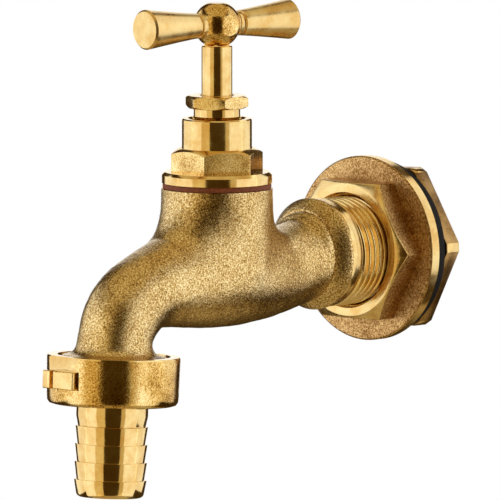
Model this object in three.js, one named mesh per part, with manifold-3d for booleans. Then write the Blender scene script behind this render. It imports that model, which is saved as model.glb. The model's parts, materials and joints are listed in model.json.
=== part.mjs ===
// Brass hose bib: cast draw-off tap, screwed into a bulkhead fitting, with a hose union on its spout.
// Millimetres, +Z up. The origin is the centre of the plate's wall face, +Y points into the wall.
import * as THREE from 'three';
import { mergeVertices } from 'three/addons/utils/BufferGeometryUtils.js';
import Module from 'manifold-3d';

const wasm = await Module();
wasm.setup();

// ---------------------------------------------------------------- driving dimensions
const GAP = 0.3; // between pieces that screw together, slide or rest in a turned group
const FACE_GAP = 0.1; // between faces stacked along the upright spindle
const SIDES = 32; // facets of a turned piece
const SMALL_SIDES = 24; // facets of a small turned piece

// Bulkhead fitting, gasket and back nut, lengths along the inlet axis
const PLATE_RADIUS = 28.35;
const PLATE_THICKNESS = 3.9;
const FITTING_HEX = 41.8;
const FITTING_HEX_LENGTH = 8.1;
const FITTING_FACE_RADIUS = 20.6; // flat part of the chamfered hexagon face
const BARREL_RADIUS = 20.95; // G 1 1/4 male thread
const BARREL_LENGTH = 13;
const BARREL_BORE = 15.2;
const WALL_GASKET_RADIUS = 26.9;
const WALL_GASKET_THICKNESS = 3.8;
const BACK_NUT_HEX = 48.5;
const BACK_NUT_CORNER = 27.2; // the corners are cut off at this radius
const BACK_NUT_THICKNESS = 5.6;
const BACK_NUT_TURN = -2.5; // degrees, how the nut happens to stand about the inlet axis

// Tap body
const PIPE_THREAD_RADIUS = 16.6; // G 1 male thread, on the inlet and on the spout
const THREAD_SHOWN = 14.5; // inlet thread between the fitting and the collar
const THREAD_ENGAGED = 10.5; // inlet thread inside the fitting
const COLLAR_STEP = 0.3; // collar over the thread, in radius
const COLLAR_LENGTH = 4.4; // the cone from the pipe and the land
const COLLAR_LAND = 0.8;
const INLET_REACH = 38.7; // from the collar's front to the spindle axis
const SPOUT_REACH = 45.7; // from the spindle axis to the outlet axis
const NECK_RADIUS = 16.8;
const NECK_TOP = 23.4; // above the inlet axis
const BELLY_RADIUS = 16.6;
const BELLY_SINK = 2.5; // the belly's centre below the inlet axis
const PIPE_RADIUS = 12.8; // outside of the inlet pipe
const SPOUT_RADIUS = 11.1; // outside of the spout above the union
const INLET_BORE = 9;
const SPOUT_BORE = 6;
const SEAT_BORE = 6.5;
const SEAT_HEIGHT = 1.5; // seat face above the inlet axis
const SEAT_RING = 1.6; // width of the raised seat

// Bonnet and gland, heights above the inlet axis follow from the neck's top
const BONNET_THREAD_RADIUS = 13.2; // G 3/4 male thread
const BONNET_THREAD_LENGTH = 11;
const FIBRE_INSET = 0.3; // inside the neck's edge
const FIBRE_THICKNESS = 1.4;
const BONNET_FLANGE_OVERHANG = 0.05; // over the neck's edge
const BONNET_FLANGE_HEIGHT = 3.5;
const BONNET_HEX = 25;
const BONNET_HEX_HEIGHT = 7.3;
const BONNET_HEX_TURN = -2.4; // degrees about the spindle
const BONNET_BARREL_RADIUS = 10.7;
const BONNET_BARREL_HEIGHT = 9;
const BOX_RADIUS = 7.4; // stuffing box bore
const BOX_MOUTH_RADIUS = 8.2;
const BOX_MOUTH_DEPTH = 2;
const BOX_DEPTH = 12.1;
const BOX_FLOOR = 2.5;
const PACKING_HEIGHT = 1.8;
const GLAND_RING_HEIGHT = 1.3;
const GLAND_HEX = 17.2;
const GLAND_HEX_HEIGHT = 3.9;
const GLAND_HEX_TURN = -32.6;
const GLAND_STANDS = 3.1; // hexagon's underside above the bonnet

// Spindle, valve and handle
const SPINDLE_RADIUS = 4.7;
const SPINDLE_THREAD_RADIUS = 6;
const SPINDLE_THREAD_LENGTH = 11;
const SPINDLE_SHOWN = 15.2; // between gland and hub
const VALVE_LIFT = 6; // how far the valve opens
const PLATE_DISC_RADIUS = 8.5;
const PLATE_DISC_HEIGHT = 3;
const JUMPER_RADIUS = 2.3;
const JUMPER_LENGTH = 7;
const WASHER_RADIUS = 8.2;
const WASHER_HEIGHT = 2.8;
const STUD_RADIUS = 1.6;
const WASHER_NUT_HEX = 5.5;
const WASHER_NUT_HEIGHT = 2.2;
const TENON_HALF = 2.8; // the spindle's square end
const HUB_RADIUS = 7.15;
const HUB_SIDE_CUT = 0.75; // depth of the faced sides, of the flat under the ball and of the one on top
const HUB_UNDER_CUT = 0.85;
const HUB_TOP_CUT = 0.55;
const HANDLE_TURN = -7.3; // degrees, the T-bar seen from above, from +Y
const ARM_END = 28.5; // tip of an arm, from the spindle axis
const ARM_ROOT_RADIUS = 3.8;
const ARM_TIP_RADIUS = 6.1;
const ARM_STUB_RADIUS = 2;

// Hose union, lengths along the outlet axis from the nut's top
const OUTLET_LEAN = 2.5; // degrees, forwards from upright
const OUTLET_DROP = 24.1; // nut's top below the inlet axis
const UNION_WALL = 3.35;
const UNION_LIP = 2.9;
const LUG_TURN = -9; // degrees about the outlet axis
const LUG_RISE = 1.3; // lug's outer face over the nut
const LUG_HALF_WIDTH = 7.4;
const LUG_TOP = 4.3;
const LUG_HEIGHT = 5.5;
const LUG_FLAT_DEPTH = 1.3; // milled flat above the lug, into the nut
const SPOUT_THREAD_LENGTH = 6.7;
const HOSE_WASHER_THICKNESS = 2;
const TAIL_FLANGE_THICKNESS = 2;
const TAIL_RADIUS = 11;
const TAIL_BORE = 8;
const TAIL_SHOWN = 28.1; // below the nut
const TAIL_PLAIN = 6.4; // plain stretch above the first barb
const BARB_COUNT = 4;
const BARB_STEP = 0.75; // how far each barb's edge stands out

// ---------------------------------------------------------------- materials
function metal(color, roughness) {
  return new THREE.MeshStandardMaterial({ color, roughness, metalness: 1 });
}

function soft(color, roughness) {
  return new THREE.MeshStandardMaterial({ color, roughness, metalness: 0 });
}

const castBrass = metal(0xb58a45, 0.6);
const turnedBrass = metal(0xd9b36a, 0.25);
const rubber = soft(0x1c1b1a, 0.8);
const fibre = soft(0x8e4634, 0.75);
const packing = soft(0xe4e1d6, 0.6);

// ---------------------------------------------------------------- solids
// Closed manifold solid from a three.js geometry, turned right side out if need be.
function solid(geometry) {
  const bare = geometry.clone();
  bare.deleteAttribute('normal');
  bare.deleteAttribute('uv');
  const merged = mergeVertices(bare, 1e-4);
  const positions = merged.attributes.position;
  const corners = [0, 1, 2].map(() => new THREE.Vector3());
  const triangles = [];
  let volume = 0;
  for (let i = 0; i < merged.index.count; i += 3) {
    const ids = [0, 1, 2].map((k) => merged.index.getX(i + k));
    if (ids[0] === ids[1] || ids[1] === ids[2] || ids[2] === ids[0]) continue;
    ids.forEach((id, k) => corners[k].fromBufferAttribute(positions, id));
    volume += corners[0].dot(corners[1].clone().cross(corners[2]));
    triangles.push(ids);
  }
  const order = volume < 0 ? [0, 2, 1] : [0, 1, 2];
  const triVerts = new Uint32Array(triangles.flatMap((ids) => order.map((k) => ids[k])));
  const vertProperties = new Float32Array(positions.array);
  return new wasm.Manifold(new wasm.Mesh({ numProp: 3, vertProperties, triVerts }));
}

// Solid of revolution about Z from [radius, height] points, closed back to its first point.
function turned(profile, sides = SIDES) {
  const points = [...profile, profile[0]].map(([r, z]) => new THREE.Vector2(r, z));
  return solid(new THREE.LatheGeometry(points, sides).rotateX(Math.PI / 2));
}

function cylinder(radius, low, high, sides = SIDES) {
  return turned([[0, low], [radius, low], [radius, high], [0, high]], sides);
}

function tube(inner, outer, low, high, sides = SIDES) {
  return turned([[inner, low], [outer, low], [outer, high], [inner, high]], sides);
}

function box(low, high) {
  const size = high.map((value, i) => value - low[i]);
  const middle = high.map((value, i) => (value + low[i]) / 2);
  return solid(new THREE.BoxGeometry(...size).translate(...middle));
}

// Hexagonal prism about Z with a corner on +X, turned by the given degrees.
function hexagon(acrossFlats, low, high, turn = 0) {
  const corner = acrossFlats / Math.sqrt(3);
  const prism = new THREE.CylinderGeometry(corner, corner, high - low, 6).rotateX(Math.PI / 2);
  prism.rotateZ(THREE.MathUtils.degToRad(90 + turn)).translate(0, 0, (low + high) / 2);
  return solid(prism);
}

// Hexagon whose corners are turned down at 30 degrees to the given face radius at each chosen end.
function chamferedHexagon(acrossFlats, low, high, turn, faceRadius, ends) {
  const corner = acrossFlats / Math.sqrt(3) + GAP;
  const depth = (corner - faceRadius) * Math.tan(Math.PI / 6);
  const lowCut = ends.includes('low') ? [[faceRadius, low], [corner, low + depth]] : [[corner, low]];
  const highCut = ends.includes('high')
    ? [[corner, high - depth], [faceRadius, high]]
    : [[corner, high]];
  const envelope = turned([[0, low], ...lowCut, ...highCut, [0, high]]);
  return hexagon(acrossFlats, low, high, turn).intersect(envelope);
}

// Tube in the YZ plane through stations of [y, z, radius], with smooth curves between them.
function bentTube(stations, sides, steps) {
  const curve = new THREE.CatmullRomCurve3(stations.map(([y, z, r]) => new THREE.Vector3(r, y, z)));
  const tubeShape = new THREE.CylinderGeometry(1, 1, 1, sides, steps);
  const positions = tubeShape.attributes.position;
  for (let i = 0; i < positions.count; i += 1) {
    const along = Math.min(Math.max(0.5 - positions.getY(i), 0), 1);
    const centre = curve.getPoint(along);
    const tangent = curve.getTangent(along).setX(0).normalize();
    const across = positions.getX(i) * centre.x;
    const outwards = positions.getZ(i) * centre.x;
    const y = centre.y - tangent.z * outwards;
    const z = centre.z + tangent.y * outwards;
    positions.setXYZ(i, across, y, z);
  }
  return solid(tubeShape);
}

const group = new THREE.Group();

function addPiece(parent, name, shape, material) {
  const { vertProperties, triVerts } = shape.getMesh();
  const geometry = new THREE.BufferGeometry();
  geometry.setAttribute('position', new THREE.BufferAttribute(new Float32Array(vertProperties), 3));
  geometry.setIndex(new THREE.BufferAttribute(new Uint32Array(triVerts), 1));
  geometry.computeVertexNormals();
  const mesh = new THREE.Mesh(geometry, material);
  mesh.name = name;
  parent.add(mesh);
  return mesh;
}

function addGroup(x, y, z, tiltX, turnZ) {
  const frame = new THREE.Group();
  frame.position.set(x, y, z);
  frame.rotation.set(tiltX, 0, turnZ);
  group.add(frame);
  return frame;
}

// ---------------------------------------------------------------- radii that follow from others
const collarRadius = PIPE_THREAD_RADIUS + COLLAR_STEP;
const unionInside = PIPE_THREAD_RADIUS + GAP + 0.05;
const unionRadius = unionInside + UNION_WALL;
const lugOut = unionRadius + LUG_RISE;
const lugFlat = unionRadius - LUG_FLAT_DEPTH;
const fibreRadius = NECK_RADIUS - FIBRE_INSET;
const flangeRadius = NECK_RADIUS + BONNET_FLANGE_OVERHANG;
const hubFlat = HUB_RADIUS - HUB_SIDE_CUT;
const hubBelow = HUB_RADIUS - HUB_UNDER_CUT;
const hubAbove = HUB_RADIUS - HUB_TOP_CUT;

// ---------------------------------------------------------------- places
const hexFront = -PLATE_THICKNESS - FITTING_HEX_LENGTH;
const collarBack = hexFront - THREAD_SHOWN;
const collarFront = collarBack - COLLAR_LENGTH;
const spindleY = collarFront - INLET_REACH;
const outletY = spindleY - SPOUT_REACH;
const outletTilt = -THREE.MathUtils.degToRad(OUTLET_LEAN);
const inlet = addGroup(0, 0, 0, -Math.PI / 2, 0); // its +Z is the inlet axis, into the wall
const headwork = addGroup(0, spindleY, 0, 0, 0); // its +Z is the spindle axis
const outlet = addGroup(0, outletY, -OUTLET_DROP, outletTilt, 0); // its -Z is the outlet axis

// ---------------------------------------------------------------- bulkhead fitting
function makeBulkheadFitting() {
  const edge = 0.4;
  const plate = turned([
    [0, -PLATE_THICKNESS], [PLATE_RADIUS - edge, -PLATE_THICKNESS],
    [PLATE_RADIUS, -PLATE_THICKNESS + edge], [PLATE_RADIUS, 0], [0, 0],
  ], 40);
  const head = chamferedHexagon(
    FITTING_HEX, hexFront, -PLATE_THICKNESS + 1, 0, FITTING_FACE_RADIUS, ['low'],
  );
  const barrel = turned([
    [0, -1], [BARREL_RADIUS, -1], [BARREL_RADIUS, BARREL_LENGTH - 1],
    [BARREL_RADIUS - 1, BARREL_LENGTH], [0, BARREL_LENGTH],
  ]);
  const thread = cylinder(PIPE_THREAD_RADIUS + GAP, hexFront - 1, hexFront + THREAD_ENGAGED + GAP);
  const bore = cylinder(BARREL_BORE, hexFront, BARREL_LENGTH + 1);
  return plate.add(head).add(barrel).subtract(thread).subtract(bore);
}

function makeBackNut() {
  const low = WALL_GASKET_THICKNESS + 2 * GAP;
  const high = low + BACK_NUT_THICKNESS;
  const trimmed = hexagon(BACK_NUT_HEX, low, high);
  const cutCorners = hexagon(BACK_NUT_CORNER * 2, low - 1, high + 1, 30);
  const nut = trimmed.intersect(cutCorners).rotate([0, 0, BACK_NUT_TURN]);
  return nut.subtract(cylinder(BARREL_RADIUS + GAP, low - 1, high + 1));
}

addPiece(inlet, 'bulkhead_fitting', makeBulkheadFitting(), castBrass);
addPiece(
  inlet, 'wall_gasket',
  tube(BARREL_RADIUS + GAP, WALL_GASKET_RADIUS, GAP, GAP + WALL_GASKET_THICKNESS), rubber,
);
addPiece(inlet, 'back_nut', makeBackNut(), turnedBrass);

// ---------------------------------------------------------------- tap body
// The casting's outside: pipe, belly and spout as one bent tube, given at [share of reach, z, radius].
function makeBodyShell() {
  const inletSide = [
    [1.03, -1.2, PIPE_RADIUS - 0.2], [0.707, -3.5, PIPE_RADIUS], [0.507, -4.1, PIPE_RADIUS + 1],
    [0.249, -3.5, BELLY_RADIUS - 1], [0, -BELLY_SINK, BELLY_RADIUS],
  ];
  const spoutSide = [
    [0.23, -2.7, BELLY_RADIUS - 0.6], [0.38, -3, SPOUT_RADIUS + 4], [0.525, -3.8, SPOUT_RADIUS + 2.6],
    [0.7, -5.8, SPOUT_RADIUS + 1], [0.857, -9.7, SPOUT_RADIUS + 0.7], [0.958, -15.3, SPOUT_RADIUS + 0.4],
    [0.993, -21, SPOUT_RADIUS],
  ];
  const stations = [
    ...inletSide.map(([share, z, r]) => [spindleY + share * INLET_REACH, z, r]),
    ...spoutSide.map(([share, z, r]) => [spindleY - share * SPOUT_REACH, z, r]),
  ];
  return bentTube(stations, 24, 28);
}

function makeNeck() {
  const points = [[0, NECK_TOP], [NECK_RADIUS, NECK_TOP], [NECK_RADIUS, 0]];
  const steps = 5;
  for (let i = 0; i <= steps; i += 1) {
    const angle = (i / steps) * Math.PI / 2;
    points.push([BELLY_RADIUS * Math.cos(angle), -BELLY_SINK - BELLY_RADIUS * Math.sin(angle)]);
  }
  return turned(points).translate([0, spindleY, 0]);
}

// Collar and inlet thread, along the inlet axis.
function makeInletEnd() {
  const relief = 1.2;
  const end = hexFront + THREAD_ENGAGED;
  const profile = [
    [0, collarFront], [PIPE_RADIUS, collarFront], [collarRadius, collarBack - COLLAR_LAND],
    [collarRadius, collarBack], [PIPE_THREAD_RADIUS - relief, collarBack + 0.3],
    [PIPE_THREAD_RADIUS - relief, collarBack + relief], [PIPE_THREAD_RADIUS, collarBack + 2 * relief],
    [PIPE_THREAD_RADIUS, end - 1], [PIPE_THREAD_RADIUS - 1, end], [0, end],
  ];
  return turned(profile).rotate([-90, 0, 0]);
}

// Flared and threaded end of the spout, along the outlet axis.
function makeSpoutEnd() {
  const top = -FACE_GAP * 4;
  const profile = [
    [0, 6], [SPOUT_RADIUS, 6], [SPOUT_RADIUS + 0.2, 2], [SPOUT_RADIUS + 1.6, top + 0.6],
    [PIPE_THREAD_RADIUS - 0.5, top], [PIPE_THREAD_RADIUS, top - 0.5],
    [PIPE_THREAD_RADIUS, -SPOUT_THREAD_LENGTH + 0.3],
    [PIPE_THREAD_RADIUS - 0.7, -SPOUT_THREAD_LENGTH - 0.4],
    [0, -SPOUT_THREAD_LENGTH - 0.4],
  ];
  return turned(profile);
}

function placeOnOutlet(shape) {
  return shape.rotate([-OUTLET_LEAN, 0, 0]).translate([0, outletY, -OUTLET_DROP]);
}

// Waterway below the seat: straight bore, then a bend down into the lower chamber.
function makeInletWay() {
  const end = hexFront + THREAD_ENGAGED + 1;
  const straight = cylinder(INLET_BORE, collarFront - 1, end, SMALL_SIDES).rotate([-90, 0, 0]);
  const sink = SEAT_HEIGHT - 9;
  const bend = bentTube([
    [collarFront + 2, 0, INLET_BORE], [collarFront - 0.35 * INLET_REACH, 0, INLET_BORE - 0.2],
    [spindleY + 0.3 * INLET_REACH, sink * 0.7, INLET_BORE - 0.7], [spindleY - 3, sink, SEAT_BORE + 0.5],
  ], 16, 6);
  const riser = cylinder(SEAT_BORE, sink, SEAT_HEIGHT + 1, SMALL_SIDES).translate([0, spindleY, 0]);
  return straight.add(bend).add(riser);
}

// Waterway above the seat: chamber under the bonnet, then the passage down the spout.
function makeOutletWay() {
  const floor = SEAT_HEIGHT - 1;
  const chamber = turned([
    [SEAT_BORE + SEAT_RING, SEAT_HEIGHT], [0, SEAT_HEIGHT], [0, NECK_TOP + 1],
    [BONNET_THREAD_RADIUS + GAP, NECK_TOP + 1],
    [BONNET_THREAD_RADIUS + GAP, NECK_TOP - BONNET_THREAD_LENGTH - 1],
    [BONNET_THREAD_RADIUS - 0.5, floor + 2],
    [BONNET_THREAD_RADIUS - 1, floor], [SEAT_BORE + SEAT_RING, floor],
  ]).translate([0, spindleY, 0]);
  const passage = bentTube([
    [spindleY - 0.2 * SPOUT_REACH, SEAT_HEIGHT + 5.2, SPOUT_BORE],
    [spindleY - 0.37 * SPOUT_REACH, 2.8, SPOUT_BORE],
    [spindleY - 0.55 * SPOUT_REACH, -1.6, SPOUT_BORE],
    [spindleY - 0.72 * SPOUT_REACH, -6, SPOUT_BORE],
    [spindleY - 0.86 * SPOUT_REACH, -10.4, SPOUT_BORE],
    [spindleY - 0.955 * SPOUT_REACH, -16, SPOUT_BORE],
    [outletY + 0.3, -OUTLET_DROP, SPOUT_BORE + 0.5],
  ], 16, 12);
  const drop = placeOnOutlet(cylinder(TAIL_BORE, -SPOUT_THREAD_LENGTH - 1, -1, SMALL_SIDES));
  return chamber.add(passage).add(drop);
}

function makeTapBody() {
  const shell = makeBodyShell().add(makeNeck()).add(makeInletEnd()).add(placeOnOutlet(makeSpoutEnd()));
  return shell.subtract(makeInletWay()).subtract(makeOutletWay());
}

addPiece(group, 'tap_body', makeTapBody(), castBrass);

// ---------------------------------------------------------------- bonnet, packing and gland
const fibreLow = NECK_TOP + FACE_GAP;
const flangeLow = fibreLow + FIBRE_THICKNESS + FACE_GAP;
const hexLow = flangeLow + BONNET_FLANGE_HEIGHT;
const hexHigh = hexLow + BONNET_HEX_HEIGHT;
const bonnetTop = hexHigh + BONNET_BARREL_HEIGHT;
const boxFloor = bonnetTop - BOX_DEPTH;
const bonnetLow = flangeLow - FIBRE_THICKNESS - BONNET_THREAD_LENGTH;

const plateLow = SEAT_HEIGHT + GAP + WASHER_HEIGHT + FACE_GAP;
const plateTop = plateLow + PLATE_DISC_HEIGHT;
const boreInner = SPINDLE_RADIUS + GAP;
const boxOuter = BOX_RADIUS - GAP;
const lowerPacking = boxFloor + FACE_GAP;
const upperPacking = lowerPacking + PACKING_HEIGHT + FACE_GAP;
const ringLow = upperPacking + PACKING_HEIGHT + FACE_GAP;
const glandLow = ringLow + GLAND_RING_HEIGHT + FACE_GAP;
const glandHexLow = bonnetTop + GLAND_STANDS;
const glandTop = glandHexLow + GLAND_HEX_HEIGHT;

function makeBonnet() {
  const edge = 0.8;
  const outside = turned([
    [0, bonnetLow], [BONNET_THREAD_RADIUS - edge, bonnetLow], [BONNET_THREAD_RADIUS, bonnetLow + edge],
    [BONNET_THREAD_RADIUS, flangeLow], [flangeRadius, flangeLow],
    [flangeRadius, hexLow - edge], [flangeRadius - edge, hexLow], [0, hexLow],
  ]);
  const hex = chamferedHexagon(
    BONNET_HEX, hexLow - 0.5, hexHigh, BONNET_HEX_TURN, BONNET_HEX / 2 + 0.2, ['high'],
  );
  const barrel = turned([
    [0, hexHigh - 1], [BONNET_BARREL_RADIUS, hexHigh - 1], [BONNET_BARREL_RADIUS, bonnetTop - 0.3],
    [BONNET_BARREL_RADIUS - 0.3, bonnetTop], [0, bonnetTop],
  ]);
  const recess = PLATE_DISC_RADIUS + 0.8;
  const recessTop = plateTop + VALVE_LIFT + 0.8;
  const inside = turned([
    [0, bonnetLow - 1], [recess, bonnetLow - 1], [recess, recessTop],
    [SPINDLE_THREAD_RADIUS + GAP, recessTop], [SPINDLE_THREAD_RADIUS + GAP, boxFloor - BOX_FLOOR],
    [SPINDLE_RADIUS + GAP, boxFloor - BOX_FLOOR], [SPINDLE_RADIUS + GAP, boxFloor],
    [BOX_RADIUS, boxFloor], [BOX_RADIUS, bonnetTop - BOX_MOUTH_DEPTH],
    [BOX_MOUTH_RADIUS, bonnetTop - BOX_MOUTH_DEPTH], [BOX_MOUTH_RADIUS, bonnetTop - 0.6],
    [BOX_MOUTH_RADIUS + 1.2, bonnetTop + 0.6], [0, bonnetTop + 0.6],
  ]);
  return outside.add(hex).add(barrel).subtract(inside);
}

function makeGlandNut() {
  const shank = cylinder(boxOuter, glandLow, glandHexLow + 0.5);
  const bead = cylinder(boxOuter + 0.45, bonnetTop + 0.4, bonnetTop + 1);
  const hex = chamferedHexagon(
    GLAND_HEX, glandHexLow, glandTop, GLAND_HEX_TURN, GLAND_HEX / 2 - 0.2, ['high'],
  );
  return shank.add(bead).add(hex).subtract(cylinder(boreInner, glandLow - 1, glandTop + 1));
}

addPiece(
  headwork, 'bonnet_gasket',
  tube(BONNET_THREAD_RADIUS + GAP, fibreRadius, fibreLow, fibreLow + FIBRE_THICKNESS), fibre,
);
addPiece(headwork, 'bonnet', makeBonnet(), turnedBrass);
addPiece(
  headwork, 'lower_packing_ring',
  tube(boreInner, boxOuter, lowerPacking, lowerPacking + PACKING_HEIGHT, SMALL_SIDES), packing,
);
addPiece(
  headwork, 'upper_packing_ring',
  tube(boreInner, boxOuter, upperPacking, upperPacking + PACKING_HEIGHT, SMALL_SIDES), packing,
);
addPiece(
  headwork, 'gland_ring',
  tube(boreInner, boxOuter, ringLow, ringLow + GLAND_RING_HEIGHT, SMALL_SIDES), turnedBrass,
);
addPiece(headwork, 'gland_nut', makeGlandNut(), turnedBrass);

// ---------------------------------------------------------------- spindle and valve
const spindleLow = plateTop + GAP;
const threadLow = spindleLow + 3.2;
const spindleTop = glandTop + SPINDLE_SHOWN;
const hubLow = spindleTop + FACE_GAP;
const hubCentre = hubLow + hubBelow;
const tenonTop = hubCentre + 2.4;

function makeSpindle() {
  const threadHigh = threadLow + SPINDLE_THREAD_LENGTH;
  const rod = turned([
    [0, spindleLow], [SPINDLE_RADIUS, spindleLow], [SPINDLE_RADIUS, threadLow],
    [SPINDLE_THREAD_RADIUS, threadLow + 0.8], [SPINDLE_THREAD_RADIUS, threadHigh - 0.8],
    [SPINDLE_RADIUS, threadHigh], [SPINDLE_RADIUS, spindleTop - 0.4],
    [SPINDLE_RADIUS - 0.4, spindleTop], [0, spindleTop],
  ], SMALL_SIDES);
  const tenon = box([-TENON_HALF, -TENON_HALF, spindleTop - 1], [TENON_HALF, TENON_HALF, tenonTop])
    .rotate([0, 0, HANDLE_TURN]);
  const socketTop = plateTop + JUMPER_LENGTH + GAP;
  const socket = cylinder(JUMPER_RADIUS + GAP, spindleLow - 1, socketTop, SMALL_SIDES);
  return rod.add(tenon).subtract(socket);
}

function makeValvePlate() {
  const studLow = SEAT_HEIGHT + GAP - WASHER_NUT_HEIGHT - 0.8;
  return turned([
    [0, studLow], [STUD_RADIUS, studLow], [STUD_RADIUS, plateLow], [PLATE_DISC_RADIUS, plateLow],
    [PLATE_DISC_RADIUS, plateTop - 0.8], [PLATE_DISC_RADIUS - 0.8, plateTop], [JUMPER_RADIUS, plateTop],
    [JUMPER_RADIUS, plateTop + JUMPER_LENGTH - 0.5], [JUMPER_RADIUS - 0.5, plateTop + JUMPER_LENGTH],
    [0, plateTop + JUMPER_LENGTH],
  ], SMALL_SIDES);
}

const washerLow = SEAT_HEIGHT + GAP;
const washerNutHigh = washerLow - FACE_GAP;
const washerNutLow = washerNutHigh - WASHER_NUT_HEIGHT;
const washerNut = hexagon(WASHER_NUT_HEX, washerNutLow, washerNutHigh)
  .subtract(cylinder(STUD_RADIUS + GAP / 2, washerNutLow - 1, washerLow, SMALL_SIDES));

addPiece(headwork, 'spindle', makeSpindle(), turnedBrass);
addPiece(headwork, 'valve_plate', makeValvePlate(), turnedBrass);
addPiece(
  headwork, 'valve_washer',
  tube(STUD_RADIUS + GAP, WASHER_RADIUS, washerLow, washerLow + WASHER_HEIGHT, SMALL_SIDES), rubber,
);
addPiece(headwork, 'washer_nut', washerNut, turnedBrass);

// ---------------------------------------------------------------- handle
const handle = addGroup(0, spindleY, hubCentre, 0, THREE.MathUtils.degToRad(HANDLE_TURN));

function makeHub() {
  const ball = solid(new THREE.SphereGeometry(HUB_RADIUS, 24, 16).rotateX(Math.PI / 2));
  const trim = box([-HUB_RADIUS, -hubFlat, -hubBelow], [HUB_RADIUS, hubFlat, hubAbove]);
  const hole = TENON_HALF + GAP;
  const socket = box([-hole, -hole, -hubBelow - 1], [hole, hole, tenonTop - hubCentre + GAP]);
  const cross = cylinder(ARM_STUB_RADIUS + GAP, -HUB_RADIUS - 1, HUB_RADIUS + 1, 16).rotate([90, 0, 0]);
  return ball.intersect(trim).subtract(socket).subtract(cross);
}

// Arm along +Z from the spindle axis: stub in the hub, grooved root, taper and chamfered tip.
function makeArm() {
  const shoulder = hubFlat + GAP;
  const stub = TENON_HALF + 2 * GAP;
  const neck = ARM_ROOT_RADIUS - 0.5;
  const bead = shoulder + 1.3;
  return turned([
    [0, stub], [ARM_STUB_RADIUS, stub], [ARM_STUB_RADIUS, shoulder], [ARM_ROOT_RADIUS, shoulder],
    [ARM_ROOT_RADIUS, bead], [neck, bead + 0.3], [neck, bead + 1], [ARM_ROOT_RADIUS + 0.1, bead + 1.4],
    [ARM_TIP_RADIUS, ARM_END - 0.6], [ARM_TIP_RADIUS - 0.6, ARM_END], [0, ARM_END],
  ], SMALL_SIDES);
}

addPiece(handle, 'handle_hub', makeHub(), turnedBrass);
const frontArm = addPiece(handle, 'handle_arm_front', makeArm(), turnedBrass);
frontArm.rotation.x = Math.PI / 2;
const backArm = addPiece(handle, 'handle_arm_back', makeArm(), turnedBrass);
backArm.rotation.x = -Math.PI / 2;

// ---------------------------------------------------------------- hose union
const hoseWasherHigh = -SPOUT_THREAD_LENGTH - 0.4 - GAP;
const hoseWasherLow = hoseWasherHigh - HOSE_WASHER_THICKNESS;
const tailHigh = hoseWasherLow - GAP;
const tailFlangeLow = tailHigh - TAIL_FLANGE_THICKNESS;
const lipHigh = tailFlangeLow - GAP;
const unionLow = lipHigh - UNION_LIP;

function makeUnionNut() {
  const edge = 1.2;
  const wall = turned([
    [0, unionLow], [unionRadius - edge - 0.6, unionLow], [unionRadius - 0.6, unionLow + edge],
    [unionRadius, 0], [0, 0],
  ], 40);
  const lug = box(
    [-LUG_HALF_WIDTH, -lugOut, -LUG_TOP - LUG_HEIGHT], [LUG_HALF_WIDTH, lugOut, -LUG_TOP],
  );
  const kept = box([-unionRadius - 1, -lugFlat, -LUG_TOP], [unionRadius + 1, lugFlat, 1]);
  const below = cylinder(lugOut * 2, unionLow - 1, -LUG_TOP);
  const inside = turned([
    [0, unionLow - 1], [TAIL_RADIUS + GAP, unionLow - 1], [TAIL_RADIUS + GAP, lipHigh],
    [unionInside, lipHigh], [unionInside, 1], [0, 1],
  ], 40);
  return wall.add(lug).intersect(kept.add(below)).subtract(inside).rotate([0, 0, LUG_TURN]);
}

function makeHoseTail() {
  const end = unionLow - TAIL_SHOWN;
  const barbTop = unionLow - TAIL_PLAIN;
  const pitch = (barbTop - end) / BARB_COUNT;
  const flange = PIPE_THREAD_RADIUS - 2 * GAP;
  const profile = [
    [TAIL_BORE, end + 0.5], [TAIL_BORE, tailHigh], [flange, tailHigh], [flange, tailFlangeLow],
    [TAIL_RADIUS, tailFlangeLow],
  ];
  for (let i = 0; i < BARB_COUNT; i += 1) {
    const top = barbTop - i * pitch;
    profile.push([TAIL_RADIUS - BARB_STEP, top], [TAIL_RADIUS, top - 0.25]);
  }
  profile.push(
    [TAIL_RADIUS - BARB_STEP - 0.4, end + 0.5], [TAIL_RADIUS - BARB_STEP - 1, end],
    [TAIL_BORE + 0.5, end],
  );
  return turned(profile);
}

addPiece(outlet, 'union_nut', makeUnionNut(), castBrass);
addPiece(
  outlet, 'hose_washer',
  tube(TAIL_BORE + 1, PIPE_THREAD_RADIUS - 2 * GAP, hoseWasherLow, hoseWasherHigh), rubber,
);
addPiece(outlet, 'hose_tail', makeHoseTail(), turnedBrass);

export default group;
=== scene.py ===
import json
from math import acos, atan2, ceil, cos, degrees, pi, radians, sin, sqrt, tan

import bmesh
import bpy
from mathutils.bvhtree import BVHTree
from mathutils import Matrix, Vector, noise


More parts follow.
